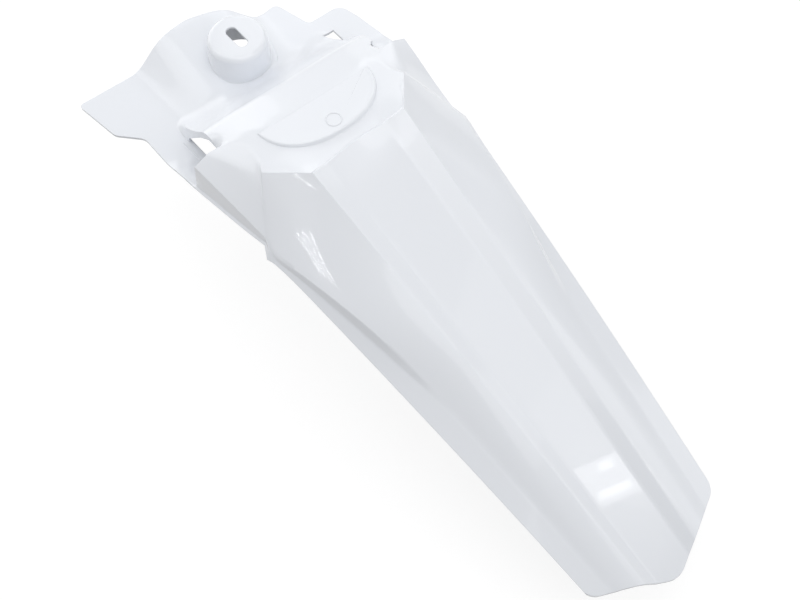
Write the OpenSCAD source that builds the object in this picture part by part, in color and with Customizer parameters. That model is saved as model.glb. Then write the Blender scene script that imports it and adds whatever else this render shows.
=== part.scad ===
/* [Body] */
// distance from the tail corners to the front ends of the two long ridges
body_l = 406; // [380:2:430]
// width across the two tail corners
tail_w = 160; // [146:2:172]
// width across the lower edges at the step in the sides
step_w = 238; // [226:2:250]
// how far the pointed middle of the tail reaches past its corners
tail_point = 39; // [28:1:50]
// height of the front ends of the ridges above the tail corners
ridge_rise = 197; // [185:1:209]
// height of the lower edges at the step above the tail corners
edge_rise = 143; // [134:1:150]
// thickness of the moulded wall
wall = 2.6; // [2:0.1:3.2]

/* [Ridges and channel] */
// distance between the two ridge lines at their front ends
ridge_w_front = 107; // [98:1:116]
// distance between the two ridge lines at the tail
ridge_w_tail = 64; // [56:1:72]
// width of the channel floor at its front end
floor_w_front = 68; // [60:1:76]
// width of the channel floor at the tail
floor_w_tail = 43; // [36:1:50]
// depth of the channel floor below the ridge lines
channel_d = 5.5; // [4:0.5:7]
// how far the side crease stands proud of the flank below it
crease_proud = 11; // [8:0.5:13]

/* [Top pad] */
// length of the shelf in front of the raised pad
shelf_l = 41; // [36:1:46]
// how much the front edges slant back from left to right, per width
skew_k = 0.06; // [0:0.01:0.08]
// drop of the shelf from the pad to its front crease
shelf_drop = 13; // [9:1:17]
// width of the raised pad
pad_w = 132; // [120:2:140]
// length of the raised pad from its curved end to the shelf
pad_l = 45; // [38:1:48]
// height of the raised pad above the band around it
pad_h = 4; // [3:0.5:5]
// outer diameter of the small moulded ring mark
mark_d = 15.5; // [12:0.5:18]

/* [Front plate and boss] */
// distance from the front ends of the ridges to the boss axis
boss_y = 181; // [174:1:188]
// diameter of the boss at its top
boss_d = 58; // [54:1:62]
// radius of the rounded shoulder of the boss
boss_r = 6; // [4:0.5:8]
// drop from the pad to the top face of the boss
boss_drop = 20; // [16:1:24]
// length of the slot in the boss top
slot_l = 27; // [24:1:30]
// width of the slot in the boss top
slot_w = 11; // [9:0.5:13]
// height of the flat side wings above the tail corners
wing_rise = 124; // [118:1:128]
// height of the arch at the front edge above the wings
arch_h = 26; // [22:1:30]
// width of that arch
arch_w = 142; // [132:2:150]
// length of the sloping sides of the arch across the fender
arch_side = 42; // [36:1:50]
// offset of the middle of the arch to the right
arch_x = -14; // [-20:1:-8]
// reach of the long left wing past the front ends of the ridges
wing_reach_left = 244; // [236:1:250]
// reach of the short right wing past the front ends of the ridges
wing_reach_right = 179; // [172:1:186]
// half width of the long left wing at its tip
wing_tip = 147; // [140:1:152]
// width of each side slot
side_slot_w = 10; // [8:1:14]
// length of each side slot
side_slot_l = 46; // [40:1:50]
// height of each side slot above the wings
side_slot_h = 34; // [28:1:38]
// width of the round notch in the right edge of the shelf
notch_d = 12.5; // [9:0.5:15]

/* [Hidden] */
zed = ridge_rise - 9;
pad_z = ridge_rise - 6;
boss_z = pad_z - boss_drop;
pad_y0 = body_l + 19.5;
pad_y1 = pad_y0 + pad_l;
shelf_y = pad_y1 + shelf_l - 1;
skirt_y = body_l + 83;
wall_y = skirt_y + 3;
ramp_y = skirt_y + 41;
foot_y = shelf_y + 42;
boss_c = body_l + boss_y;
reach_l = body_l + wing_reach_left;
reach_r = body_l + wing_reach_right;
sw = step_w / 2;
tw = tail_w / 2;
wz = wing_rise;

function mix(a, b, t) = a + (b - a) * t;
function clamp(t) = min(1, max(0, t));
// profile along the body: ridge line, lower edge and crease
function ridge_z(y) = let (t = y / body_l) 9 + zed * (1.06 * t - 0.06 * t * t);
function ridge_x(y) = mix(ridge_w_tail, ridge_w_front, (y + 22) / (body_l + 22)) / 2;
function floor_x(y) = mix(floor_w_tail, floor_w_front, (y + 22) / (body_l + 22)) / 2;
function edge_z(y) = let (t = y / body_l) edge_rise * (1.18 * t - 0.18 * t * t);
function edge_x(y) = mix(tw, sw, y / body_l) + 1.5 * clamp((y - 0.9 * body_l) / 20);
function crease_k(y) = clamp((y - 0.48 * body_l) / (0.49 * body_l));
function crease_x(y) = mix(ridge_x(y), edge_x(y), 0.583 + 0.39 * crease_k(y));
function proud(y) = let (k = crease_k(y))
    crease_proud * smooth(clamp(2 * k)) * pow(min(1, 2 - 2 * k), 0.4);
function chord_z(y, x) =
    mix(ridge_z(y), edge_z(y), (x - ridge_x(y)) / (edge_x(y) - ridge_x(y)));

// one cross-section of the body as [column, point] pairs
function body_row(y) = let (
        xr = ridge_x(y),
        xf = floor_x(y),
        xc = crease_x(y),
        xe = edge_x(y),
        zc = chord_z(y, xc) + proud(y),
        xt = mix(xc, xe, 0.22),
        zt = chord_z(y, xt) + 0.12 * proud(y),
        bulge = 2.2
    ) [
        [0, [0, y, ridge_z(y) - channel_d]],
        [1, [xf, y, ridge_z(y) - channel_d]],
        [2, [xr, y, ridge_z(y)]],
        [2.5, [mix(xr, xc, 0.5), y, mix(ridge_z(y), zc, 0.5) + bulge]],
        [3, [xc, y, zc]],
        [3.3, [mix(xc, xt, 0.7), y, mix(zc, zt, 0.75)]],
        [3.6, [xt, y, zt]],
        [5, [xe, y, edge_z(y)]]
    ];

// cross-section rows in front of the ridges, along the feature lines
skirt_z = edge_rise + 7;
function side_z(y) = skirt_z + 0.235 * (y - body_l);
function side_x(y) = sw - 7.5 + 0.1 * (y - body_l);
function foot_z(y) = skirt_z - 9 - 0.06 * (y - body_l);
band_z = pad_z - pad_h;
// front edge of the panels, from the channel along the outer crease to the step
b1 = [
    [0, [0, body_l + 7, ridge_rise - channel_d - 3.5]],
    [1, [floor_w_front / 2, body_l + 3, ridge_rise - channel_d - 1]],
    [2, [ridge_w_front / 2, body_l, ridge_rise]],
    [2.4, [84, body_l + 35, ridge_rise - 10]],
    [3, [side_x(body_l) + 0.5, body_l - 2, skirt_z - 1]],
    [3.6, [side_x(body_l) + 4, body_l - 9, edge_rise + 1]],
    [5, [sw + 1.5, body_l - 12, edge_rise - 7]]
];
// the same line a little further forward, where the skirt starts
b2 = [
    [0, [0, body_l + 9, band_z]],
    [1, [floor_w_front / 2, body_l + 6, band_z + 1]],
    [2, [ridge_w_front / 2 + 1, body_l + 3, ridge_rise - 3]],
    [2.4, [83.5, body_l + 37, ridge_rise - 10.5]],
    [3, [side_x(body_l) - 0.5, body_l + 1, skirt_z - 0.5]],
    [3.6, [side_x(body_l) + 1, body_l - 1, foot_z(body_l) + 2]],
    [5, [side_x(body_l) + 3, body_l - 1.5, foot_z(body_l)]]
];
// foot of the curved riser of the pad
b3 = [
    [0, [0, pad_y0, band_z]],
    [1, [30, pad_y0 + 3, band_z]],
    [2, [53, pad_y0 + 14, band_z]],
    [2.4, [77, body_l + 46.5, band_z]],
    [2.6, [88, body_l + 42, band_z - 4.5]],
    [3, [side_x(body_l + 26), body_l + 26, side_z(body_l + 26)]],
    [3.6, [side_x(body_l + 26) + 1.5, body_l + 25, foot_z(body_l + 26) + 2]],
    [5, [side_x(body_l + 26) + 4, body_l + 25, foot_z(body_l + 26)]]
];
b4 = [
    [0, [0, pad_y1, pad_z]],
    [1, [36, pad_y1, pad_z]],
    [2, [66, pad_y1 + 3, pad_z]],
    [2.4, [70, pad_y1 + 4, pad_z - 1.5]],
    [2.6, [98, body_l + 70, pad_z - 11.5]],
    [3, [side_x(body_l + 60), body_l + 60, side_z(body_l + 60)]],
    [3.6, [side_x(body_l + 60) + 1.5, body_l + 60, foot_z(body_l + 60) + 2]],
    [5, [side_x(body_l + 60) + 4, body_l + 60, foot_z(body_l + 60)]]
];
// top edge of the front wall of the skirt
b5 = [
    [0, [0, mix(pad_y1, shelf_y, 0.4), pad_z - shelf_drop * 0.4]],
    [1, [36, mix(pad_y1, shelf_y, 0.4), pad_z - shelf_drop * 0.4]],
    [2, [66, mix(pad_y1, shelf_y, 0.48), pad_z - shelf_drop * 0.46]],
    [2.4, [91, skirt_y - 3, pad_z - 9.5]],
    [2.6, [104, skirt_y - 0.5, pad_z - 13]],
    [3, [side_x(skirt_y), skirt_y, side_z(skirt_y)]],
    [3.6, [side_x(skirt_y) + 1.5, skirt_y, foot_z(skirt_y) + 2]],
    [5, [side_x(skirt_y) + 4, skirt_y, foot_z(skirt_y)]]
];
// foot of that wall, on the ramp that runs down to the wing
b6 = [
    [0, [0, mix(pad_y1, shelf_y, 0.55), pad_z - shelf_drop * 0.55]],
    [1, [36, mix(pad_y1, shelf_y, 0.56), pad_z - shelf_drop * 0.56]],
    [2, [66, mix(pad_y1, shelf_y, 0.62), pad_z - shelf_drop * 0.62]],
    [2.4, [92, skirt_y + 3, pad_z - 11]],
    [2.6, [94, wall_y, wz + 4]],
    [2.8, [104, wall_y, wz + 9]],
    [3, [side_x(skirt_y) - 1, wall_y, foot_z(skirt_y)]],
    [3.6, [side_x(skirt_y) + 1, wall_y, foot_z(skirt_y)]],
    [5, [side_x(skirt_y) + 6, wall_y, foot_z(skirt_y)]]
];
// crease between the shelf and the front slope
b7 = [
    [0, [0, shelf_y, pad_z - shelf_drop]],
    [1, [36, shelf_y + 1, pad_z - shelf_drop]],
    [2, [66, shelf_y + 2, pad_z - shelf_drop - 1]],
    [2.4, [92, shelf_y + 2, pad_z - shelf_drop - 4]],
    [2.6, [94, shelf_y + 3, wz]],
    [2.8, [103, shelf_y + 11, wz]],
    [3, [114, ramp_y - 6, wz + 5]],
    [3.6, [sw + 4, ramp_y - 6, wz + 7]],
    [5, [wing_tip + 8, ramp_y - 6, wz + 7]]
];
b7b = [
    [0, [0, mix(shelf_y, foot_y, 0.5), mix(pad_z - shelf_drop, wz + 12, 0.47)]],
    [1, [36, mix(shelf_y, foot_y, 0.5), mix(pad_z - shelf_drop, wz + 11, 0.47)]],
    [2, [66, mix(shelf_y, foot_y, 0.52), mix(pad_z - shelf_drop, wz + 5, 0.47)]],
    [2.4, [91, mix(shelf_y, foot_y, 0.52), mix(pad_z - shelf_drop, wz + 2, 0.5)]],
    [2.6, [93.5, mix(shelf_y, foot_y, 0.52), wz]],
    [2.8, [102, ramp_y + 2, wz]],
    [3, [114, ramp_y + 2, wz]],
    [3.6, [sw + 4, ramp_y + 2, wz]],
    [5, [wing_tip + 8, ramp_y + 2, wz]]
];

// height of the front plate: flat wings and a low arch that grows forward
function smooth(t) = t * t * (3 - 2 * t);
function arch(x) = smooth(clamp((arch_w / 2 - abs(x - arch_x)) / arch_side));
function plate_z(x, y) =
    wz + (12 + (arch_h - 12) * clamp((y - foot_y) / (reach_l - foot_y))) * arch(x);
function plate_row(y, xs) =
    [for (k = [0:len(xs) - 1]) [plate_cols[k], [xs[k], y, wz]]];
function arched(r) = [for (p = r) [p[0], p[1], plate_z(p[0], p[1])]];
plate_cols = [0, 0.5, 1, 1.5, 2, 2.2, 2.4, 2.6, 2.8, 3, 3.6, 5];
plate_x = [0, 14, 28, 42, 56, 66, 76, 84, 95, 106, 126, wing_tip + 12];
b8 = [
    [0, [0, foot_y, wz + 12]],
    [1, [34, foot_y + 3, plate_z(34, foot_y) + 1]],
    [2, [62, foot_y + 7, plate_z(62, foot_y)]],
    [2.4, [88, foot_y + 16, wz]],
    [2.6, [91, foot_y + 17, wz]],
    [2.8, [101, foot_y + 14, wz]],
    [3, [112, foot_y + 12, wz]],
    [3.6, [126, foot_y + 12, wz]],
    [5, [wing_tip + 10, foot_y + 8, wz]]
];

cols = [0, 0.5, 1, 1.5, 2, 2.2, 2.4, 2.6, 2.8, 3, 3.3, 3.6, 4, 4.5, 5];
function at(keys, k, n) = lookup(k, [for (p = keys) [p[0], p[1][n]]]);
function half(keys) = [for (k = cols) [at(keys, k, 0), at(keys, k, 1), at(keys, k, 2)]];
function full(keys) = let (h = half(keys), n = len(h)) concat(
        [for (k = [n - 1:-1:1]) [-h[k][0], h[k][1], h[k][2]]],
        h
    );
function blend(a, b, t) = [for (k = [0:len(a) - 1]) mix(a[k], b[k], t)];

body_ys = [-56, -28, 0, 34, 68, 102, 136, 170, 196, 218, 240, 262, 284, 306, 328, 350, 370, 386];
body_rows = [for (y = body_ys) full(body_row(y * body_l / 406))];
last = body_rows[len(body_rows) - 1];
f1 = full(b1);
function skew(r) = [for (p = r) [p[0], p[1] - skew_k * p[0], p[2]]];
plate_ys = [for (t = [0:0.125:1.15]) mix(foot_y + 24, reach_l, t)];
rows = concat(
    body_rows,
    [blend(last, f1, 0.5), f1, full(b2), full(b3)],
    [for (b = [b4, b5, b6, b7, b7b]) skew(full(b))],
    [arched(skew(full(b8)))],
    [for (y = plate_ys) arched(full(plate_row(y, plate_x)))]
);

// the inner face is the outer face moved in by the wall along its normals
nr = len(rows);
nc = len(rows[0]);
function unit(v) = v / norm(v);
function normal(i, j) = let (
        a = rows[min(i + 1, nr - 1)][j] - rows[max(i - 1, 0)][j],
        b = rows[i][min(j + 1, nc - 1)] - rows[i][max(j - 1, 0)]
    ) unit(cross(b, a));
inner = [for (i = [0:nr - 1]) [for (j = [0:nc - 1]) rows[i][j] - wall * normal(i, j)]];

module skin() {
    pts = concat([for (r = rows) each r], [for (r = inner) each r]);
    m = nr * nc;
    polyhedron(pts, concat(
        [for (i = [0:nr - 2]) for (j = [0:nc - 2]) each [
            [i * nc + j, (i + 1) * nc + j, (i + 1) * nc + j + 1],
            [i * nc + j, (i + 1) * nc + j + 1, i * nc + j + 1],
            [m + i * nc + j, m + (i + 1) * nc + j + 1, m + (i + 1) * nc + j],
            [m + i * nc + j, m + i * nc + j + 1, m + (i + 1) * nc + j + 1]
        ]],
        [for (i = [0:nr - 2]) each [
            [i * nc, m + i * nc, m + (i + 1) * nc],
            [i * nc, m + (i + 1) * nc, (i + 1) * nc],
            [i * nc + nc - 1, m + (i + 1) * nc + nc - 1, m + i * nc + nc - 1],
            [i * nc + nc - 1, (i + 1) * nc + nc - 1, m + (i + 1) * nc + nc - 1]
        ]],
        [for (j = [0:nc - 2]) each [
            [j, j + 1, m + j + 1],
            [j, m + j + 1, m + j],
            [(nr - 1) * nc + j, m + (nr - 1) * nc + j + 1, (nr - 1) * nc + j + 1],
            [(nr - 1) * nc + j, m + (nr - 1) * nc + j, m + (nr - 1) * nc + j + 1]
        ]]
    ));
}

// a polygon with each corner p[0], p[1] rounded to the radius p[2]
function corner(a, p, b) = let (
        u = unit([a[0] - p[0], a[1] - p[1]]),
        v = unit([b[0] - p[0], b[1] - p[1]]),
        h = acos(u * v) / 2,
        d = p[2] / tan(h),
        c = [p[0], p[1]] + unit(u + v) * (p[2] / sin(h)),
        s = [p[0], p[1]] + u * d - c,
        f = [p[0], p[1]] + v * d - c,
        a0 = atan2(s[1], s[0]),
        da = let (w = atan2(f[1], f[0]) - a0) w > 180 ? w - 360 : w < -180 ? w + 360 : w
    ) h > 88 ? [[p[0], p[1]]] : [for (t = [0:5]) c + p[2] * [cos(a0 + da * t / 5), sin(a0 + da * t / 5)]];
function rounded(p) = let (n = len(p))
    [for (k = [0:n - 1]) each corner(p[(k + n - 1) % n], p[k], p[(k + 1) % n])];

// outline of the whole moulding seen from above
outline = [
    [0, -tail_point, 14],
    [tw, 0, 12],
    [tw + 25, 60, 1],
    [sw + 4, body_l - 30, 1],
    [sw + 11, ramp_y + 2, 18],
    [sw + 8, reach_r - 25, 18],
    [sw + 3, reach_r - 2, 13],
    [84, reach_r, 7],
    [74, reach_l - 24, 7],
    [46, reach_l - 27, 12],
    [26, reach_l - 12, 24],
    [-16, reach_l + 1, 50],
    [-84, reach_l - 2, 20],
    [-wing_tip, reach_l + 3, 4],
    [-wing_tip + 6, reach_l - 48, 12],
    [-sw - 2.5, reach_l - 70, 12],
    [-sw - 4, ramp_y + 2, 10],
    [-sw - 4, body_l - 30, 1],
    [-tw - 25, 60, 1],
    [-tw, 0, 12]
];

// outline of the raised pad, moved in by the given distance
function pad_pts(in) = let (w = pad_w / 2 - in, d = pad_l + 4 - in) [
        for (t = [180:7.5:360]) let (c = cos(t), s = sin(t)) [
            w * sign(c) * pow(abs(c), 0.91),
            min(pad_y1, pad_y1 + 4 + d * sign(s) * pow(abs(s), 0.91))
        ]
    ];

// raised pad with a sloping curved riser
module pad() {
    low = pad_pts(-3);
    top = pad_pts(0);
    n = len(top);
    polyhedron(
        concat(
            [for (p = low) [p[0], p[1], band_z - 1]],
            [for (p = top) [p[0], p[1], pad_z]]
        ),
        concat(
            [[for (k = [0:n - 1]) k], [for (k = [n - 1:-1:0]) n + k]],
            [for (k = [0:n - 1]) let (m = (k + 1) % n) [k, n + k, n + m]],
            [for (k = [0:n - 1]) let (m = (k + 1) % n) [k, n + m, m]]
        )
    );
}

// boss wall with a rounded shoulder and a fillet at its foot
module boss() {
    h = boss_z - wz - 4;
    f = 6;
    rotate_extrude($fn = 72)
        polygon(concat(
            [[boss_d / 2 - 4, 0], [boss_d / 2 + 1.5, 0], [boss_d / 2 + 1.5 + f, 4]],
            [for (t = [0:18:90]) [boss_d / 2 + 1.3 + f - f * sin(t), 8 + f - f * cos(t)]],
            [for (t = [0:15:90]) [boss_d / 2 - boss_r + boss_r * cos(t), h - boss_r + boss_r * sin(t)]],
            [[0, h], [0, h - 2 * wall], [boss_d / 2 - 4, h - 2 * wall]]
        ));
}

module slot(l, w, h) {
    linear_extrude(h)
        union() {
            translate([0, (l - w) / 2])
                circle(d = w, $fn = 48);
            translate([0, -(l - w) / 2])
                circle(d = w, $fn = 48);
            square([w, l - w], center = true);
        }
}

// window through the side wall of the front slope, from x0 to x1 and from z0 up
module side_slot(x0, x1, z0, l, h) {
    y0 = wall_y + 4;
    translate([x0, 0, 0])
        rotate([90, 0, 90])
            linear_extrude(x1 - x0)
                polygon([
                    [y0, z0],
                    [y0, wz + side_slot_h],
                    [y0 + l - 24, wz + side_slot_h],
                    [y0 + l, wz + h],
                    [y0 + l, z0]
                ]);
}

module rear_fender() {
    color([0.93, 0.94, 0.96])
        translate([0, -boss_c, -boss_z])
            difference() {
                union() {
                    intersection() {
                        skin();
                        translate([0, 0, -60])
                            linear_extrude(400)
                                polygon(rounded(outline));
                    }
                    // raised pad
                    pad();
                    // small ring mark
                    translate([0, pad_y0 + 16, pad_z - 1])
                        difference() {
                            cylinder(d = mark_d, h = 1.5, $fn = 48);
                            translate([0, 0, 1])
                                cylinder(d = mark_d - 2.4, h = 1, $fn = 48);
                        }
                    // sill of the left window
                    translate([-sw + 22, wall_y + 4, wz - wall])
                        cube([8, side_slot_l + 10, wall + 1]);
                    // boss wall
                    translate([0, boss_c, wz + 4])
                        boss();
                }
                translate([0, boss_c, wz - 30])
                    cylinder(d = boss_d - 2 * wall, h = boss_z - wz + 30 - wall, $fn = 72);
                translate([0, boss_c, boss_z - 20])
                    slot(slot_l, slot_w, 30);
                side_slot(-sw + 22, -sw + 34, wz + 1, side_slot_l + 7, 6);
                side_slot(-sw + 30, -sw + 44, wz - 20, side_slot_l + 5, 5);
                side_slot(sw - 25 - side_slot_w, sw - 22, wz - 20, side_slot_l + 21, 24);
                // notch in the right edge of the shelf
                translate([92.5, body_l + 83.5, pad_z - 18])
                    cylinder(d = notch_d, h = 30, $fn = 36);
                translate([0, 0, pad_z - pad_h - 30])
                    linear_extrude(30 + pad_h - wall)
                        polygon(pad_pts(wall));
            }
}

rear_fender();
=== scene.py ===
import math

import bmesh
import bpy
import numpy as np
from mathutils import Matrix, Vector


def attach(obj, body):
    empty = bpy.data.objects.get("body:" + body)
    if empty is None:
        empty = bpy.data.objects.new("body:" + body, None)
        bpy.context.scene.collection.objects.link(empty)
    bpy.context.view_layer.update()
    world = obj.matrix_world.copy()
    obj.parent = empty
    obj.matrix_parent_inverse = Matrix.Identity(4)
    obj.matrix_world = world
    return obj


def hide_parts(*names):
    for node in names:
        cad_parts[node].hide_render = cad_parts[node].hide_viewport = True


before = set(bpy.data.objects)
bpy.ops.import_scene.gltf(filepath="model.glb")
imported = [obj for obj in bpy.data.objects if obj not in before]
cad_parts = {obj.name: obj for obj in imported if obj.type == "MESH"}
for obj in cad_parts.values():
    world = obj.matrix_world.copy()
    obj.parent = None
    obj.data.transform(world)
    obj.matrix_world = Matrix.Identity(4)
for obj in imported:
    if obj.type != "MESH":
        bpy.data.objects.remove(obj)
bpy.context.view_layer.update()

# Sizes, the same as in part.scad, in millimetres: x across from the middle, y forward from the tail
# corners, z up. Some points further down were measured again after it, at the front corners, the pad, the
# left window and the tail corners. The finished shell is moved into the part's frame, in metres.
BODY_L, TAIL_W, STEP_W, TAIL_POINT = 406, 160, 238, 39
RIDGE_RISE, EDGE_RISE, WALL = 197, 143, 2.6
RIDGE_WF, RIDGE_WT, FLOOR_WF, FLOOR_WT = 107, 64, 68, 43
CHANNEL_D, CREASE_PROUD = 5.5, 11
SHELF_L, SKEW, SHELF_DROP = 41, 0.06, 13
PAD_W, PAD_L, PAD_H, MARK_D = 132, 45, 4, 15.5
BOSS_Y, BOSS_D, BOSS_R, BOSS_DROP = 181, 58, 6, 20
SLOT_L, SLOT_W = 27, 11
WZ, ARCH_H, ARCH_W, ARCH_SIDE, ARCH_X = 124, 26, 142, 42, -14
REACH_LEFT, REACH_RIGHT, WING_TIP = 244, 179, 147
SIDE_W, SIDE_L, SIDE_H = 10, 46, 34
NOTCH_D, NOTCH_X, NOTCH_Y = 12.5, 92.5, BODY_L + 83.5

ZED = RIDGE_RISE - 9
PAD_Z = RIDGE_RISE - 6
BOSS_Z = PAD_Z - BOSS_DROP
PAD_Y0 = BODY_L + 19.5
PAD_Y1 = PAD_Y0 + PAD_L
SHELF_Y = PAD_Y1 + SHELF_L - 1
SKIRT_Y = BODY_L + 83
WALL_Y = SKIRT_Y + 3
RAMP_Y = SKIRT_Y + 41
FOOT_Y = SHELF_Y + 42
BOSS_C = BODY_L + BOSS_Y
REACH_L = BODY_L + REACH_LEFT
REACH_R = BODY_L + REACH_RIGHT
SW, TW = STEP_W / 2, TAIL_W / 2
BAND_Z = PAD_Z - PAD_H
SKIRT_Z = EDGE_RISE + 7


def mix(a, b, t):
    return a + (b - a) * t


def clamp(t):
    return min(1.0, max(0.0, t))


# The moulded skin is a grid of control points. Its rows run across, from the tail forward, and each is a
# list of (column, point) for the right half. On the tail, column 0 is the middle of the channel, 1 the edge
# of its floor, 2 the outer edge of the strip, 3 the fold of the flange and 5 the rim.
def ridge_z(y):
    t = y / BODY_L
    return 9 + ZED * (1.06 * t - 0.06 * t * t)


def ridge_x(y):
    return mix(RIDGE_WT, RIDGE_WF, (y + 22) / (BODY_L + 22)) / 2


def floor_x(y):
    return mix(FLOOR_WT, FLOOR_WF, (y + 22) / (BODY_L + 22)) / 2


def edge_z(y):
    t = y / BODY_L
    return EDGE_RISE * (1.18 * t - 0.18 * t * t)


def edge_x(y):
    return mix(TW, SW, y / BODY_L) + 1.5 * clamp((y - 0.9 * BODY_L) / 20)


def crease_k(y):
    return clamp((y - 0.48 * BODY_L) / (0.49 * BODY_L))


def crease_x(y):
    return mix(ridge_x(y), edge_x(y), 0.583 + 0.39 * crease_k(y))


def proud(y):
    k = crease_k(y)
    t = clamp(2 * k)
    return CREASE_PROUD * t * t * (3 - 2 * t) * min(1, 2 - 2 * k) ** 0.4


def chord_z(y, x):
    return mix(ridge_z(y), edge_z(y), (x - ridge_x(y)) / (edge_x(y) - ridge_x(y)))


def body_row(y):
    xr, xf, xc, xe = ridge_x(y), floor_x(y), crease_x(y), edge_x(y)
    zc = chord_z(y, xc) + proud(y)
    xt = mix(xc, xe, 0.22)
    zt = chord_z(y, xt) + 0.12 * proud(y)
    return [
        (0, (0, y, ridge_z(y) - CHANNEL_D)),
        (1, (xf, y, ridge_z(y) - CHANNEL_D)),
        (2, (xr, y, ridge_z(y))),
        (2.25, (mix(xr, xc, 0.25), y, mix(ridge_z(y), zc, 0.25) + 1.7)),
        (2.5, (mix(xr, xc, 0.5), y, mix(ridge_z(y), zc, 0.5) + 2.2)),
        (2.75, (mix(xr, xc, 0.75), y, mix(ridge_z(y), zc, 0.75) + 1.7)),
        (3, (xc, y, zc)),
        (3.3, (mix(xc, xt, 0.7), y, mix(zc, zt, 0.75))),
        (3.6, (xt, y, zt)),
        (5, (xe, y, edge_z(y))),
    ]


def side_z(y):
    return SKIRT_Z + 0.235 * (y - BODY_L)


def side_x(y):
    return SW - 7.5 + 0.1 * (y - BODY_L)


def foot_z(y):
    return SKIRT_Z - 9 - 0.06 * (y - BODY_L)


B1 = [
    (0, (0, BODY_L + 7, RIDGE_RISE - CHANNEL_D - 3.5)),
    (1, (FLOOR_WF / 2, BODY_L + 3, RIDGE_RISE - CHANNEL_D - 1)),
    (2, (RIDGE_WF / 2, BODY_L, RIDGE_RISE)),
    (2.4, (84, BODY_L + 35.5, RIDGE_RISE - 9.6)),
    (3, (side_x(BODY_L) + 0.5, BODY_L - 2, SKIRT_Z - 1)),
    (3.6, (side_x(BODY_L) + 4, BODY_L - 9, EDGE_RISE + 1)),
    (5, (SW + 1.5, BODY_L - 12, EDGE_RISE - 7)),
]
B2 = [
    (0, (0, BODY_L + 9, BAND_Z)),
    (1, (FLOOR_WF / 2, BODY_L + 6, BAND_Z + 1)),
    (2, (RIDGE_WF / 2 + 1, BODY_L + 3, RIDGE_RISE - 3)),
    (2.4, (83, BODY_L + 37, RIDGE_RISE - 9.5)),
    (3, (side_x(BODY_L) + 0.4, BODY_L + 0.2, SKIRT_Z - 0.2)),
    (3.6, (side_x(BODY_L) + 1, BODY_L - 1, foot_z(BODY_L) + 2)),
    (5, (side_x(BODY_L) + 3, BODY_L - 1.5, foot_z(BODY_L))),
]
B3 = [
    (0, (0, PAD_Y0, BAND_Z)),
    (1, (30, PAD_Y0 + 3, BAND_Z)),
    (2, (53, PAD_Y0 + 14, BAND_Z)),
    (2.4, (77, BODY_L + 46.5, BAND_Z + 0.7)),
    (2.6, (88, BODY_L + 42, BAND_Z - 4.5)),
    (3, (side_x(BODY_L + 26), BODY_L + 26, side_z(BODY_L + 26))),
    (3.6, (side_x(BODY_L + 26) + 1.5, BODY_L + 25, foot_z(BODY_L + 26) + 2)),
    (5, (side_x(BODY_L + 26) + 4, BODY_L + 25, foot_z(BODY_L + 26))),
]
B4 = [
    (0, (0, PAD_Y1, PAD_Z)),
    (1, (36, PAD_Y1, PAD_Z)),
    (2, (66, PAD_Y1 + 3, PAD_Z)),
    (2.4, (70, PAD_Y1 + 4, PAD_Z - 1.5)),
    (2.6, (98, BODY_L + 70, PAD_Z - 11.5)),
    (3, (side_x(BODY_L + 60), BODY_L + 60, side_z(BODY_L + 60))),
    (3.6, (side_x(BODY_L + 60) + 1.5, BODY_L + 60, foot_z(BODY_L + 60) + 2)),
    (5, (side_x(BODY_L + 60) + 4, BODY_L + 60, foot_z(BODY_L + 60))),
]
B5 = [
    (0, (0, mix(PAD_Y1, SHELF_Y, 0.4), PAD_Z - SHELF_DROP * 0.4)),
    (1, (36, mix(PAD_Y1, SHELF_Y, 0.4), PAD_Z - SHELF_DROP * 0.4)),
    (2, (66, mix(PAD_Y1, SHELF_Y, 0.48), PAD_Z - SHELF_DROP * 0.46)),
    (2.4, (91, SKIRT_Y - 3, PAD_Z - 9.5)),
    (2.6, (104, SKIRT_Y - 0.5, PAD_Z - 13)),
    (3, (side_x(SKIRT_Y), SKIRT_Y, side_z(SKIRT_Y))),
    (3.6, (side_x(SKIRT_Y) + 1.5, SKIRT_Y, foot_z(SKIRT_Y) + 2)),
    (5, (side_x(SKIRT_Y) + 4, SKIRT_Y, foot_z(SKIRT_Y))),
]
B6 = [
    (0, (0, mix(PAD_Y1, SHELF_Y, 0.55), PAD_Z - SHELF_DROP * 0.55)),
    (1, (36, mix(PAD_Y1, SHELF_Y, 0.56), PAD_Z - SHELF_DROP * 0.56)),
    (2, (66, mix(PAD_Y1, SHELF_Y, 0.62), PAD_Z - SHELF_DROP * 0.62)),
    (2.4, (92, SKIRT_Y + 3, PAD_Z - 11)),
    (2.6, (94, WALL_Y, WZ + 4)),
    (2.8, (104, WALL_Y, WZ + 9)),
    (3, (side_x(SKIRT_Y) - 1, WALL_Y, foot_z(SKIRT_Y))),
    (3.6, (side_x(SKIRT_Y) + 1, WALL_Y, foot_z(SKIRT_Y))),
    (5, (side_x(SKIRT_Y) + 6, WALL_Y, foot_z(SKIRT_Y))),
]
B7 = [
    (0, (0, SHELF_Y, PAD_Z - SHELF_DROP)),
    (1, (36, SHELF_Y + 1, PAD_Z - SHELF_DROP)),
    (2, (66, SHELF_Y + 2, PAD_Z - SHELF_DROP - 1)),
    (2.4, (92, SHELF_Y + 2, PAD_Z - SHELF_DROP - 4)),
    (2.6, (94, SHELF_Y + 3, WZ)),
    (2.8, (103, SHELF_Y + 11, WZ)),
    (3, (114, RAMP_Y - 6, WZ + 5)),
    (3.6, (SW + 4, RAMP_Y - 6, WZ + 7)),
    (5, (WING_TIP + 8, RAMP_Y - 6, WZ + 7)),
]
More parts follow.
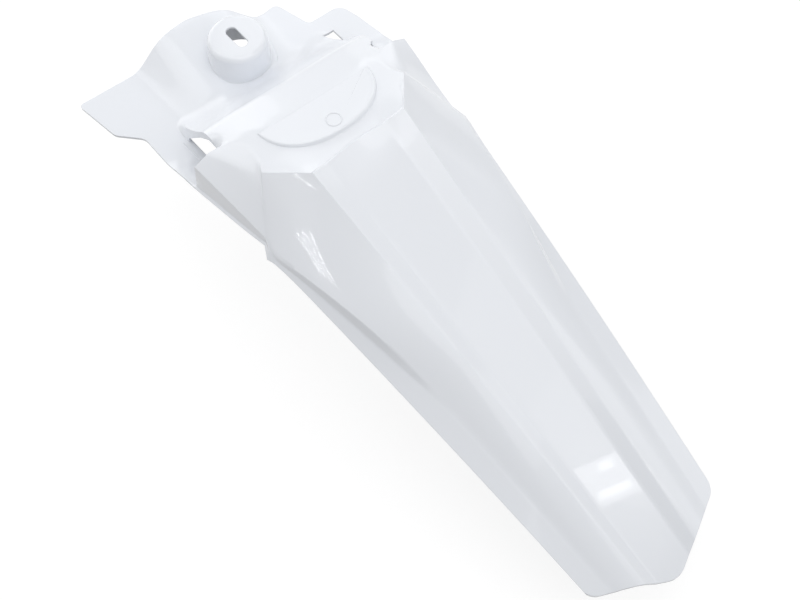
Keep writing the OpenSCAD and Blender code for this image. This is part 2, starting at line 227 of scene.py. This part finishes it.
B7B = [
    (0, (0, mix(SHELF_Y, FOOT_Y, 0.5), mix(PAD_Z - SHELF_DROP, WZ + 12, 0.47))),
    (1, (36, mix(SHELF_Y, FOOT_Y, 0.5), mix(PAD_Z - SHELF_DROP, WZ + 11, 0.47))),
    (2, (66, mix(SHELF_Y, FOOT_Y, 0.52), mix(PAD_Z - SHELF_DROP, WZ + 5, 0.47))),
    (2.4, (91, mix(SHELF_Y, FOOT_Y, 0.52), mix(PAD_Z - SHELF_DROP, WZ + 2, 0.5))),
    (2.6, (93.5, mix(SHELF_Y, FOOT_Y, 0.52), WZ)),
    (2.8, (102, RAMP_Y + 2, WZ)),
    (3, (114, RAMP_Y + 2, WZ)),
    (3.6, (SW + 4, RAMP_Y + 2, WZ)),
    (5, (WING_TIP + 8, RAMP_Y + 2, WZ)),
]


def arch(x):
    t = clamp((ARCH_W / 2 - abs(x - ARCH_X)) / ARCH_SIDE)
    return t * t * (3 - 2 * t)


def plate_z(x, y):
    return WZ + (12 + (ARCH_H - 12) * clamp((y - FOOT_Y) / (REACH_L - FOOT_Y))) * arch(x)


B8 = [
    (0, (0, FOOT_Y, WZ + 12)),
    (1, (34, FOOT_Y + 3, plate_z(34, FOOT_Y) + 1)),
    (2, (62, FOOT_Y + 7, plate_z(62, FOOT_Y))),
    (2.4, (88, FOOT_Y + 16, WZ)),
    (2.6, (91, FOOT_Y + 17, WZ)),
    (2.8, (101, FOOT_Y + 14, WZ)),
    (3, (112, FOOT_Y + 12, WZ)),
    (3.6, (126, FOOT_Y + 12, WZ)),
    (5, (WING_TIP + 10, FOOT_Y + 8, WZ)),
]
COLS = [0, 0.5, 1, 1.5, 2, 2.2, 2.4, 2.6, 2.8, 3, 3.3, 3.6, 4, 4.5, 5]
PLATE_COLS = [0, 0.5, 1, 1.5, 2, 2.2, 2.4, 2.6, 2.8, 3, 3.6, 5]
PLATE_X = [0, 14, 28, 42, 56, 66, 76, 84, 95, 106, 126, WING_TIP + 12]


def full(keys):
    """A whole row, left to right, from the (column, point) list of its right half."""
    ks = [k for k, _ in keys]
    half = [[float(np.interp(c, ks, [p[n] for _, p in keys])) for n in range(3)] for c in COLS]
    return [[-p[0], p[1], p[2]] for p in half[:0:-1]] + half


def skew(row):
    return [[x, y - SKEW * x, z] for x, y, z in row]


def arched(row):
    return [[x, y, plate_z(x, y)] for x, y, z in row]


# rows from the tail to the front edge of the plate
BODY_YS = [-56, -28, 0, 34, 68, 102, 136, 170, 196, 218, 240, 262, 284, 306, 328, 350, 370, 386]
names, rows = [], []
for y in BODY_YS:
    names.append("body")
    rows.append(full(body_row(y)))
first = full(B1)
names.append("body")
rows.append([[mix(a, b, 0.5) for a, b in zip(p, q)] for p, q in zip(rows[-1], first)])
for name, row in (("b1", first), ("b2", full(B2)), ("b3", full(B3))):
    names.append(name)
    rows.append(row)
for name, keys in (("b4", B4), ("b5", B5), ("b6", B6), ("b7", B7), ("b7b", B7B)):
    names.append(name)
    rows.append(skew(full(keys)))
names.append("b8")
rows.append(arched(skew(full(B8))))
for k in range(10):
    y = mix(FOOT_Y + 24, REACH_L, 0.125 * k)
    names.append("plate")
    rows.append(arched(full([(c, (x, y, WZ)) for c, x in zip(PLATE_COLS, PLATE_X)])))
NR, NC = len(rows), len(rows[0])
COL_OF = [-c for c in COLS[:0:-1]] + COLS


def mesh_object(name, verts, faces):
    me = bpy.data.meshes.new(name)
    me.from_pydata([tuple(float(c) for c in v) for v in verts], [], faces)
    me.update()
    ob = bpy.data.objects.new(name, me)
    bpy.context.scene.collection.objects.link(ob)
    return ob


def evaluated_mesh(ob):
    bpy.context.view_layer.update()
    dg = bpy.context.evaluated_depsgraph_get()
    return bpy.data.meshes.new_from_object(ob.evaluated_get(dg), depsgraph=dg)


def drop(ob):
    bpy.data.objects.remove(ob, do_unlink=True)


# the crease along a row: weight, first column and last column
ROW_CREASE = {
    "b1": (1.0, 0, 9), "b2": (1.0, 0, 9), "b4": (0.5, 0, 2.0),
    "b5": (1.0, 2.4, 9), "b6": (1.0, 2.4, 9), "b7": (0.6, 0, 2.5),
}


def column_crease(c, i):
    """The crease along column c, from row i to the next."""
    c = abs(c)
    name = names[i]
    y = rows[i][NC // 2][1]
    if name == "body":
        if c in (1, 2):
            return 1.0
        if c == 3:
            return crease_k(y) ** 0.3
        if c == 3.6:
            return 0.3
        return 0.0
    if name in ("b1", "b2", "b3", "b4", "b5", "b6") and c == 3:
        return 1.0
    if name in ("b1", "b2", "b3", "b4", "b5") and c == 3.6:
        return 0.9
    if name in ("b1", "b2", "b3") and c == 2.4 or name == "b1" and c == 2:
        return 1.0
    if name == "b4" and c == 2.4:
        return 0.5
    if name in ("b3", "b4") and c == 2.6:
        return 0.5
    if name in ("b6", "b7", "b7b") and c in (2.4, 2.6):
        return 1.0
    return 0.0


grid = [p for r in rows for p in r]
quads = [
    (i * NC + j, i * NC + j + 1, (i + 1) * NC + j + 1, (i + 1) * NC + j)
    for i in range(NR - 1)
    for j in range(NC - 1)
]
cage = mesh_object("cage", grid, quads)
# the points of the front corners that stay sharp: row and column
SHARP = {(name, c) for name in ("b1", "b2") for c in (2, 2.4, 3)} | {("b5", 2.4), ("b5", 3), ("b6", 3)}
corners = cage.data.attributes.new("crease_vert", "FLOAT", "POINT")
for k in range(NR * NC):
    corners.data[k].value = 1.0 if (names[k // NC], abs(COL_OF[k % NC])) in SHARP else 0.0
attr = cage.data.attributes.new("crease_edge", "FLOAT", "EDGE")
for e in cage.data.edges:
    a, b = sorted(e.vertices)
    i, j = divmod(a, NC)
    i2, j2 = divmod(b, NC)
    if i == i2:
        c0, c1 = sorted((abs(COL_OF[j]), abs(COL_OF[j2])))
        w = ROW_CREASE.get(names[i])
        attr.data[e.index].value = w[0] if w and c0 >= w[1] and c1 <= w[2] else 0.0
    else:
        attr.data[e.index].value = column_crease(COL_OF[j], i)
sub = cage.modifiers.new("sub", "SUBSURF")
sub.levels = sub.render_levels = 2
sub.boundary_smooth = "PRESERVE_CORNERS"
outer = evaluated_mesh(cage)
drop(cage)

# the inner face is the outer one moved in by the wall
n_out = len(outer.vertices)
co = np.zeros(n_out * 3)
outer.vertices.foreach_get("co", co)
co = co.reshape(-1, 3)
vn = np.array([tuple(v.vector) for v in outer.vertex_normals])
flip = vn[:, 2].mean() < 0
if flip:
    vn = -vn
inner_co = co - WALL * vn
bm = bmesh.new()
bm.from_mesh(outer)
rim = [(e.verts[0].index, e.verts[1].index) for e in bm.edges if e.is_boundary]
bm.free()
polys = [tuple(p.vertices) for p in outer.polygons]
if flip:
    polys = [p[::-1] for p in polys]
faces = polys + [tuple(n_out + v for v in p[::-1]) for p in polys]
directed = {pair for p in polys for pair in zip(p, p[1:] + p[:1])}
for a, b in rim:
    if (a, b) not in directed:
        a, b = b, a
    faces.append((b, a, n_out + a, n_out + b))
skin = mesh_object("skin", np.vstack([co, inner_co]), faces)


# outline and cuts
NEARLY_STRAIGHT = math.radians(88)
ARC_STEPS = 8


def rounded(points):
    """The polygon of (x, y, radius) with its corners rounded."""
    out, n = [], len(points)
    for k in range(n):
        a, p, b = (np.array(points[q][:2], float) for q in ((k - 1) % n, k, (k + 1) % n))
        r = points[k][2]
        u, v = (a - p) / np.linalg.norm(a - p), (b - p) / np.linalg.norm(b - p)
        h = math.acos(max(-1, min(1, float(u @ v)))) / 2
        if h > NEARLY_STRAIGHT:
            out.append(tuple(p))
            continue
        c = p + (u + v) / np.linalg.norm(u + v) * r / math.sin(h)
        s, f = p + u * r / math.tan(h) - c, p + v * r / math.tan(h) - c
        a0 = math.atan2(s[1], s[0])
        da = (math.atan2(f[1], f[0]) - a0 + math.pi) % (2 * math.pi) - math.pi
        for t in range(ARC_STEPS + 1):
            angle = a0 + da * t / ARC_STEPS
            out.append(tuple(c + r * np.array([math.cos(angle), math.sin(angle)])))
    return out


OUTLINE = [
    (0, -TAIL_POINT, 24), (TW + 0.4, 0, 18), (TW + 5, 48, 1), (TW + 32, 130, 1), (SW + 4, BODY_L - 30, 1),
    (SW + 11, RAMP_Y + 2, 18), (SW + 8, REACH_R - 25, 18), (SW + 3, REACH_R - 2, 13),
    (84, REACH_R, 7), (74, REACH_L - 24, 7), (46, REACH_L - 27, 12),
    (26, REACH_L - 12, 24), (-16, REACH_L + 1, 50), (-84, REACH_L - 2, 20),
    (-WING_TIP, REACH_L + 3, 4), (-WING_TIP + 6, REACH_L - 48, 12),
    (-SW - 2.5, REACH_L - 70, 12), (-SW - 4, RAMP_Y + 2, 10), (-SW - 4, BODY_L - 30, 1),
    (-TW - 32, 130, 1), (-TW - 5, 48, 1), (-TW - 0.4, 0, 18),
]


def prism(name, loops):
    """A closed solid from stacked loops of equal length, each a list of (x, y, z)."""
    n = len(loops[0])
    area = sum(a[0] * b[1] - b[0] * a[1] for a, b in zip(loops[0], loops[0][1:] + loops[0][:1]))
    if area < 0:
        loops = [lp[::-1] for lp in loops]
    verts = [p for lp in loops for p in lp]
    fs = [tuple(range(n))[::-1], tuple((len(loops) - 1) * n + k for k in range(n))]
    for s in range(len(loops) - 1):
        for k in range(n):
            a, b = s * n + k, s * n + (k + 1) % n
            fs.append((a, b, b + n, a + n))
    return mesh_object(name, verts, fs)


def flat_prism(name, pts, z0, z1):
    return prism(name, [[(x, y, z0) for x, y in pts], [(x, y, z1) for x, y in pts]])


ROUND_STEPS = 96


def lathe(name, profile, cy):
    """A closed solid of revolution; the profile starts and ends on the axis, from the bottom up."""
    verts, fs = [], []
    n, m = ROUND_STEPS, len(profile)
    verts.append((0, cy, profile[0][1]))
    for r, z in profile[1:-1]:
        for k in range(n):
            a = 2 * math.pi * k / n
            verts.append((r * math.cos(a), cy + r * math.sin(a), z))
    verts.append((0, cy, profile[-1][1]))
    top = len(verts) - 1
    for k in range(n):
        q = (k + 1) % n
        fs.append((0, 1 + q, 1 + k))
        for s in range(m - 3):
            a, b = 1 + s * n, 1 + (s + 1) * n
            fs.append((a + k, a + q, b + q, b + k))
        a = 1 + (m - 3) * n
        fs.append((a + k, a + q, top))
    return mesh_object(name, verts, fs)


def boolean(ob, other, kind):
    m = ob.modifiers.new("b", "BOOLEAN")
    m.operation = kind
    m.solver = "MANIFOLD"
    m.object = other
    me = evaluated_mesh(ob)
    if len(me.polygons) == 0:
        raise RuntimeError("empty result after " + other.name)
    ob.modifiers.clear()
    old = ob.data
    ob.data = me
    bpy.data.meshes.remove(old)
    drop(other)
    return ob


HALF_ROUND_STEPS = 48
PAD_SQUARE = 0.89


def pad_pts(inset, y_top):
    """The D-shaped outline of the pad, moved in by inset; PAD_SQUARE makes it fuller than an ellipse."""
    w = PAD_W / 2 - 4 - inset
    d = PAD_L + 1.5 - inset
    pts = []
    for t in range(HALF_ROUND_STEPS + 1):
        a = math.radians(180 + 180 * t / HALF_ROUND_STEPS)
        c, s = math.cos(a), math.sin(a)
        x = math.copysign(abs(c) ** PAD_SQUARE, c) * w
        y = math.copysign(abs(s) ** PAD_SQUARE, s) * d if abs(s) > 1e-9 else 0.0
        pts.append((x, min(PAD_Y1 + 4 + y, y_top) - SKEW * x))
    return pts


body = boolean(skin, flat_prism("outline", rounded(OUTLINE), -60, 340), "INTERSECT")

# the pad: (inset, height) of each ring of its edge, with a low bead
PAD_EDGE = [
    (-3.6, BAND_Z - 1), (-2.6, BAND_Z + 0.15), (-1.4, BAND_Z + 0.5), (-0.5, BAND_Z + 1.3), (0, PAD_Z - 1.2),
    (0.6, PAD_Z - 0.2), (1.4, PAD_Z + 0.3), (2.4, PAD_Z + 0.45), (3.6, PAD_Z + 0.2), (4.8, PAD_Z),
]
pad = prism("pad", [[(x, y, min(z, PAD_Z) if y + SKEW * x > PAD_Y1 - 0.1 else z)
                     for x, y in pad_pts(i, PAD_Y1)] for i, z in PAD_EDGE])
boolean(body, pad, "UNION")

# the bare ring mark on the pad
MARK_Y, MARK_H, MARK_ROUND = PAD_Y0 + 16, 0.5, 0.25
r0, r1 = MARK_D / 2, MARK_D / 2 - 1.2
ring = lathe("ring", [
    (0, PAD_Z - 1), (r0, PAD_Z - 1), (r0, PAD_Z + 0.3), (r0 - MARK_ROUND, PAD_Z + MARK_H),
    (r1 + MARK_ROUND, PAD_Z + MARK_H), (r1, PAD_Z + 0.3), (r1, PAD_Z + 0.02), (0, PAD_Z + 0.02),
], MARK_Y)
boolean(body, ring, "UNION")

# sill of the left window
WINDOW_Y, SILL_X0, SILL_X1 = WALL_Y + 4, -SW + 22, -SW + 30
SILL_Y1, SILL_TOP = WINDOW_Y + SIDE_L + 10, WZ + 1
sill_pts = [(SILL_X0, WINDOW_Y), (SILL_X1, WINDOW_Y), (SILL_X1, SILL_Y1), (SILL_X0, SILL_Y1)]
boolean(body, flat_prism("sill", sill_pts, WZ - WALL, SILL_TOP), "UNION")

# boss wall with a rounded shoulder and a fillet at its foot
BOSS_FILLET, BOSS_FOOT, BELOW = 6, WZ + 4, WZ - 30
boss_r = BOSS_D / 2
profile = [(0, BOSS_FOOT), (boss_r + 1.5, BOSS_FOOT), (boss_r + 1.5 + BOSS_FILLET, BOSS_FOOT + 4)]
for t in range(0, 91, 9):
    a = math.radians(t)
    profile.append((boss_r + 1.3 + BOSS_FILLET - BOSS_FILLET * math.sin(a),
                    BOSS_FOOT + 8 + BOSS_FILLET - BOSS_FILLET * math.cos(a)))
for t in range(0, 91, 9):
    a = math.radians(t)
    profile.append((boss_r - BOSS_R + BOSS_R * math.cos(a), BOSS_Z - BOSS_R + BOSS_R * math.sin(a)))
profile.append((0, BOSS_Z))
boolean(body, lathe("boss", profile, BOSS_C), "UNION")

# the hollow below the boss, wider at the foot towards the front
hollow_r, hollow_z = boss_r - WALL, BOSS_Z - WALL
hollow = lathe("hollow", [(0, BELOW), (hollow_r, BELOW), (hollow_r, hollow_z), (0, hollow_z)], BOSS_C)
boolean(body, hollow, "DIFFERENCE")
HOLLOW_FOOT_R = 33
sector = [(0, BOSS_C)]
for t in range(30, 121, 6):
    a = math.radians(t)
    sector.append((HOLLOW_FOOT_R * math.cos(a), BOSS_C + HOLLOW_FOOT_R * math.sin(a)))
boolean(body, flat_prism("hollow_foot", sector, BELOW, BOSS_FOOT + 5.5), "DIFFERENCE")


def slot_pts(l, w):
    """A slot outline of length l and width w round the boss axis."""
    out = []
    for start, way in ((0, 1), (math.pi, -1)):
        for k in range(HALF_ROUND_STEPS + 1):
            a = start + math.pi * k / HALF_ROUND_STEPS
            out.append((w / 2 * math.cos(a), BOSS_C + way * (l - w) / 2 + w / 2 * math.sin(a)))
    return out


slot = prism("slot", [
    [(x, y, BOSS_Z - 20) for x, y in slot_pts(SLOT_L, SLOT_W)],
    [(x, y, BOSS_Z - 0.5) for x, y in slot_pts(SLOT_L, SLOT_W)],
    [(x, y, BOSS_Z) for x, y in slot_pts(SLOT_L + 1, SLOT_W + 1)],
    [(x, y, BOSS_Z + 5) for x, y in slot_pts(SLOT_L + 1, SLOT_W + 1)],
])
boolean(body, slot, "DIFFERENCE")


def window(x0, x1, zb, length, rise, top=SIDE_H):
    """The cutter of a side window, from x0 to x1, open from zb up to a sloping roof."""
    y0 = WINDOW_Y
    side = [(y0, zb), (y0 + length, zb), (y0 + length, WZ + rise), (y0 + length - 24, WZ + SIDE_H)]
    if top > SIDE_H:
        side.append((y0 + length - 38, WZ + top))
    side.append((y0, WZ + top))
    n = len(side)
    verts = [(x0, y, z) for y, z in side] + [(x1, y, z) for y, z in side]
    fs = [tuple(range(n))[::-1], tuple(range(n, 2 * n))]
    fs += [(k, (k + 1) % n, (k + 1) % n + n, k + n) for k in range(n)]
    return mesh_object("window", verts, fs)


# the left window is open above its sill and right through beside it
LEFT_TOP = 46
boolean(body, window(SILL_X0, SILL_X1 + 4, SILL_TOP, SIDE_L + 7, 6, LEFT_TOP), "DIFFERENCE")
boolean(body, window(SILL_X1, SILL_X1 + 14, WZ - 20, SIDE_L + 5, 5, LEFT_TOP), "DIFFERENCE")
boolean(body, window(SW - 25 - SIDE_W, SW - 22, WZ - 20, SIDE_L + 21, 24), "DIFFERENCE")

# the inside of the pad
under = flat_prism("under", pad_pts(WALL, PAD_Y1 - WALL), BAND_Z - 30, PAD_Z - WALL)
boolean(body, under, "DIFFERENCE")

# round notch in the right edge of the shelf
notch_r, low, high = NOTCH_D / 2, PAD_Z - 18, PAD_Z + 12
notch = lathe("notch", [(0, low), (notch_r, low), (notch_r, high), (0, high)], NOTCH_Y)
for v in notch.data.vertices:
    v.co.x += NOTCH_X
boolean(body, notch, "DIFFERENCE")

# into the part's frame, in metres, with steep edges kept sharp
MM = 0.001
WELD = 2e-6
SHARP_ANGLE = math.radians(32)
me = body.data
bm = bmesh.new()
bm.from_mesh(me)
for v in bm.verts:
    v.co = Vector((v.co.x, v.co.y - BOSS_C, v.co.z - BOSS_Z)) * MM
bmesh.ops.remove_doubles(bm, verts=bm.verts, dist=WELD)
for fc in bm.faces:
    fc.smooth = True
for e in bm.edges:
    e.smooth = len(e.link_faces) == 2 and e.calc_face_angle(0) < SHARP_ANGLE
bm.to_mesh(me)
bm.free()
body.name = "fender_shell"
me.name = "fender_shell"


# material of the shell: glossy white plastic with a thin coat; the bevel and the bump are in metres
SHELL_COLOUR = (0.86, 0.885, 0.93, 1)
ROUGH_LOW, ROUGH_HIGH = 0.21, 0.23
PATCH_SCALE, GRAIN_SCALE = 14, 260
EDGE_ROUND, BUMP_DEPTH = 0.0008, 0.0004


def noise(tree, coords, scale, detail):
    node = tree.nodes.new("ShaderNodeTexNoise")
    node.inputs["Scale"].default_value = scale
    node.inputs["Detail"].default_value = detail
    tree.links.new(coords.outputs["Object"], node.inputs["Vector"])
    return node.outputs["Fac"]


def shell_material():
    mat = bpy.data.materials.new("shell_plastic")
    mat.use_nodes = True
    tree = mat.node_tree
    nodes, links = tree.nodes, tree.links
    plastic = nodes["Principled BSDF"]
    coords = nodes.new("ShaderNodeTexCoord")
    rough = nodes.new("ShaderNodeMapRange")
    rough.inputs["From Min"].default_value = 0.3
    rough.inputs["From Max"].default_value = 0.7
    rough.inputs["To Min"].default_value = ROUGH_LOW
    rough.inputs["To Max"].default_value = ROUGH_HIGH
    links.new(noise(tree, coords, PATCH_SCALE, 2), rough.inputs["Value"])
    links.new(rough.outputs["Result"], plastic.inputs["Roughness"])
    bevel = nodes.new("ShaderNodeBevel")
    bevel.samples = 6
    bevel.inputs["Radius"].default_value = EDGE_ROUND
    bump = nodes.new("ShaderNodeBump")
    bump.inputs["Strength"].default_value = 0.02
    bump.inputs["Distance"].default_value = BUMP_DEPTH
    links.new(noise(tree, coords, GRAIN_SCALE, 3), bump.inputs["Height"])
    links.new(bevel.outputs["Normal"], bump.inputs["Normal"])
    links.new(bump.outputs["Normal"], plastic.inputs["Normal"])
    plastic.inputs["Base Color"].default_value = SHELL_COLOUR
    plastic.inputs["IOR"].default_value = 1.5
    plastic.inputs["Coat Weight"].default_value = 0.5
    plastic.inputs["Coat Roughness"].default_value = 0.02
    return mat


me.materials.clear()
me.materials.append(shell_material())
for p in me.polygons:
    p.material_index = 0

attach(body, "root")
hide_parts("rear_fender")

# floor, world, lamps and camera
FLOOR_HALF, FLOOR_GAP = 6, 0.16
floor_z = (WZ - 40 - BOSS_Z) * MM - FLOOR_GAP
floor_pts = [(x * FLOOR_HALF, y * FLOOR_HALF, floor_z) for x, y in ((-1, -1), (1, -1), (1, 1), (-1, 1))]
floor = mesh_object("floor", floor_pts, [(0, 1, 2, 3)])

# how bright the floor is for light that bounces, and how bright where it is seen directly or in a reflection
FLOOR_BASE, FLOOR_SEEN, FLOOR_GLOW = 0.29, 0.3, 0.78
WORLD = 0.45


def seen_ray(tree):
    """1 for camera, glossy and transmission rays, 0 for the rest."""
    path = tree.nodes.new("ShaderNodeLightPath")
    last_out = path.outputs["Is Camera Ray"]
    for extra in ("Is Glossy Ray", "Is Transmission Ray"):
        most = tree.nodes.new("ShaderNodeMath")
        most.operation = "MAXIMUM"
        tree.links.new(last_out, most.inputs[0])
        tree.links.new(path.outputs[extra], most.inputs[1])
        last_out = most.outputs[0]
    return last_out


def diffuse(tree, level):
    node = tree.nodes.new("ShaderNodeBsdfDiffuse")
    node.inputs["Color"].default_value = (level, level, level, 1)
    return node.outputs[0]


def glowing(tree, kind, strength):
    """A white emission or background shader."""
    node = tree.nodes.new(kind)
    node.inputs["Color"].default_value = (1, 1, 1, 1)
    node.inputs["Strength"].default_value = strength
    return node.outputs[0]


def mix_shader(tree, factor, first, second):
    node = tree.nodes.new("ShaderNodeMixShader")
    for k, output in enumerate((factor, first, second)):
        tree.links.new(output, node.inputs[k])
    return node.outputs[0]


def floor_material():
    mat = bpy.data.materials.new("floor_white")
    mat.use_nodes = True
    tree = mat.node_tree
    tree.nodes.remove(tree.nodes["Principled BSDF"])
    both = tree.nodes.new("ShaderNodeAddShader")
    tree.links.new(diffuse(tree, FLOOR_SEEN), both.inputs[0])
    tree.links.new(glowing(tree, "ShaderNodeEmission", FLOOR_GLOW), both.inputs[1])
    surface = mix_shader(tree, seen_ray(tree), diffuse(tree, FLOOR_BASE), both.outputs[0])
    tree.links.new(surface, tree.nodes["Material Output"].inputs["Surface"])
    return mat


def studio_world():
    """Dim for the light that it gives, and white where the camera sees it."""
    world = bpy.data.worlds.new("studio")
    world.use_nodes = True
    tree = world.node_tree
    tree.nodes.remove(tree.nodes["Background"])
    dim = glowing(tree, "ShaderNodeBackground", WORLD)
    white = glowing(tree, "ShaderNodeBackground", 1.0)
    path = tree.nodes.new("ShaderNodeLightPath")
    surface = mix_shader(tree, path.outputs["Is Camera Ray"], dim, white)
    tree.links.new(surface, tree.nodes["World Output"].inputs["Surface"])
    return world


floor.data.materials.append(floor_material())
bpy.context.scene.world = studio_world()


def area_lamp(name, where, target, size, power, size_y=None, along=None):
    """A lamp of size by size_y metres that faces the target; its long side can follow a direction."""
    lamp = bpy.data.lights.new(name, "AREA")
    lamp.shape = "RECTANGLE"
    lamp.size, lamp.size_y = size, size_y or size
    lamp.energy = power
    ob = bpy.data.objects.new(name, lamp)
    ob.location = where
    ob.rotation_mode = "QUATERNION"
    back = (Vector(where) - Vector(target)).normalized()
    if along is None:
        ob.rotation_quaternion = (-back).to_track_quat("-Z", "Y")
    else:
        side = (Vector(along) - Vector(along).dot(back) * back).normalized()
        ob.rotation_quaternion = Matrix((side, back.cross(side), back)).transposed().to_quaternion()
    bpy.context.scene.collection.objects.link(ob)


# soft boxes round the part: name, direction clockwise from the front and height in degrees, power in watts
AIM, BOX_AWAY, BOX_SIZE = (0, -0.28, -0.05), 1.6, 1.0
BOXES = [
    ("front", 0, 14, 3.8), ("front_right", 45, 14, 1.5), ("back_right", 135, 14, 1.0),
    ("front_left", 315, 14, 1.7), ("back_left", 225, 14, 1.0), ("right", 75, 30, 1.4),
    ("right_high", 45, 38, 2.0), ("back_right_high", 135, 38, 2.3), ("front_left_high", 322, 52, 3.1),
    ("back_high", 180, 64, 3.0), ("overhead", 0, 88, 4.2),
]
for name, turn, height, power in BOXES:
    turn, height = math.radians(turn), math.radians(height)
    where = (AIM[0] + BOX_AWAY * math.sin(turn) * math.cos(height),
             AIM[1] + BOX_AWAY * math.cos(turn) * math.cos(height),
             AIM[2] + BOX_AWAY * math.sin(height))
    area_lamp(name, where, AIM, BOX_SIZE, power)

# four thin parallel tubes in a bank on the left, 1.6 m from the side panel, for the streaks on it: offset
# across the bank, start and end along it, in metres; TUBE_POWER is in watts per metre
LEFT_SIDE = Vector((-0.092, -0.23, -0.02))
TUBE_WIDTH, TUBE_POWER = 0.003, 0.27
BANK = Vector((-1.3196, -0.412, 0.9899))
ALONG, ACROSS = Vector((-0.4575, 0.7874, -0.4142)), Vector((0.4499, 0.6066, 0.6562))
TUBES = [(0.062, -0.168, -0.037), (0.048, -0.127, 0.052), (0.036, -0.073, 0.137), (0.025, -0.032, 0.159)]
for k, (offset, s0, s1) in enumerate(TUBES):
    middle = BANK + ACROSS * offset + ALONG * (s0 + s1) / 2
    area_lamp("tube_%d" % (k + 1), middle, LEFT_SIDE, s1 - s0, TUBE_POWER * (s1 - s0), TUBE_WIDTH, ALONG)

# lamps behind on the right, for the highlight near the tail
TAIL, TAIL_ALONG = (0, -0.525, -0.137), (0.85, -0.25, -0.15)
area_lamp("tail_wide", (0.54, -1.48, 1.02), TAIL, 0.4, 0.25)
area_lamp("tail_glow", (0.55, -1.49, 1.01), TAIL, 0.13, 0.17, 0.10, TAIL_ALONG)
area_lamp("tail_spot_1", (0.563, -1.466, 1.027), TAIL, 0.028, 0.01, 0.02, TAIL_ALONG)
area_lamp("tail_spot_2", (0.547, -1.514, 0.999), TAIL, 0.07, 0.024, 0.02, TAIL_ALONG)

# the camera fitted to the photo
cam_data = bpy.data.cameras.new("camera")
cam_data.lens = 67.5
cam_data.sensor_width = 36
cam = bpy.data.objects.new("camera", cam_data)
cam.location = (-0.4739, -0.7820, 1.1346)
cam.rotation_euler = (math.radians(28.5), 0, math.radians(-41))
bpy.context.scene.collection.objects.link(cam)
bpy.context.scene.camera = cam
bpy.context.scene.view_settings.view_transform = "Standard"
